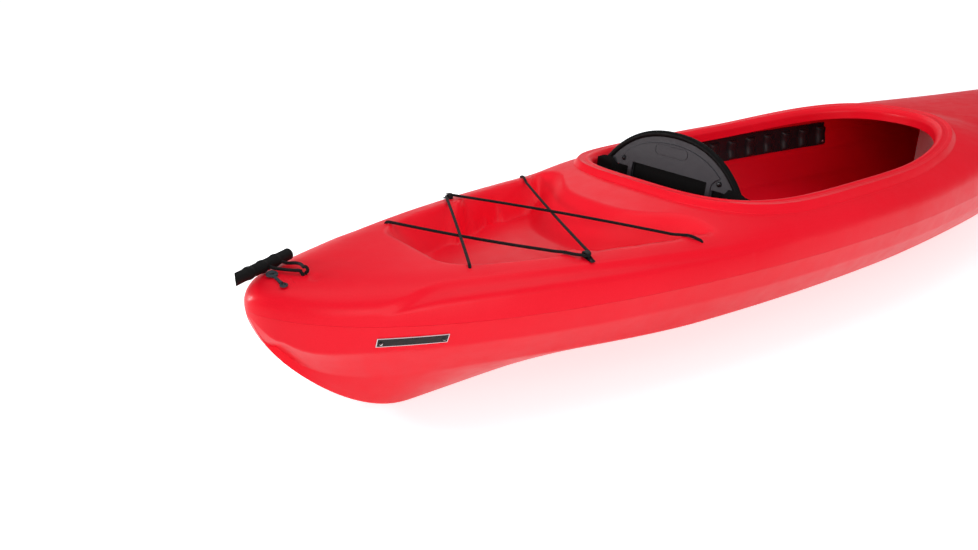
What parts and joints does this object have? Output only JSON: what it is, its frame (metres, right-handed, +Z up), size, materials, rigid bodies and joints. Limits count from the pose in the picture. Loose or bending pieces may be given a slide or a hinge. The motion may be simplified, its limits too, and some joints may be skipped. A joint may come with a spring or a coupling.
{
  "type": "sit-in kayak",
  "caption": "Sit-in recreational kayak: moulded shell with a tank well and bungee cords, padded folding seat back, ribbed footrests, swinging grips, drain plug",
  "frame": {"origin": "On the ground under the middle of the kayak's length, at the flat of the keel", "axes": "+X to the bow, +Y to port, +Z up"},
  "size_m": [3.0796, 0.7394, 0.4215],
  "materials": {
    "shell": "satin red moulded polyethylene",
    "fittings": "black moulded plastic",
    "plate": "charcoal moulded plastic",
    "rim": "black rubber edging",
    "plug": "slate grey rubber",
    "cord": "black braided cord",
    "webbing": "black woven webbing",
    "pad": "black padded fabric",
    "screws": "stainless steel",
    "foam": "white closed-cell foam",
    "nameless_plate": "blank anodised plate"
  },
  "bodies": {
    "kayak": {"hull": "shell", "deck": "shell", "cord_hook_port": "fittings", "cord_hook_starboard": "fittings", "hook_screw_port": "screws", "hook_screw_starboard": "screws", "shock_cord_lower": "cord", "shock_cord_upper": "cord", "stern_handle_knot": "cord", "bow_handle_knot": "cord", "drain_plug_anchor": "plug", "anchor_screw": "screws", "seat_pan": "fittings", "seat_cushion": "pad", "seat_pin_port": "screws", "seat_pin_starboard": "screws", "foot_rail_port": "fittings", "foot_rail_starboard": "fittings", "rail_screw_port_1": "screws", "rail_screw_port_2": "screws", "rail_screw_starboard_1": "screws", "rail_screw_starboard_2": "screws", "float_block_stern": "foam", "float_block_bow": "foam", "side_plate": "nameless_plate", "plate_rivet_1": "screws", "plate_rivet_2": "screws"},
    "seat_back": {"seat_back_plate": "plate", "seat_back_rim": "rim", "seat_back_webbing": "webbing", "seat_back_cushion": "pad", "seat_back_bolt_port": "screws", "seat_back_bolt_starboard": "screws"},
    "stern_handle": {"stern_handle_grip": "fittings", "stern_handle_cord": "cord"},
    "bow_handle": {"bow_handle_grip": "fittings", "bow_handle_cord": "cord"},
    "drain_plug": {"drain_plug": "plug"}
  },
  "joints": [
    {"name": "seat_back_tilt", "type": "hinge", "parent": "kayak", "child": "seat_back", "pos_m": [-0.519, 0, 0.135], "axis": [0, 1, 0], "range_deg": [-4, 60]},
    {"name": "stern_handle_swing", "type": "hinge", "parent": "kayak", "child": "stern_handle", "pos_m": [-1.4235, -0.018, 0.3028], "axis": [0.8934, 0.4493, 0], "range_deg": [0, 90]},
    {"name": "bow_handle_swing", "type": "hinge", "parent": "kayak", "child": "bow_handle", "pos_m": [1.4235, -0.018, 0.3441], "axis": [0.8934, -0.4493, 0], "range_deg": [0, 90]},
    {"name": "drain_plug_lift", "type": "hinge", "parent": "kayak", "child": "drain_plug", "pos_m": [-1.47, -0.02863, 0.30268], "axis": [1, 0, 0], "range_deg": [0, 100]}
  ]
}
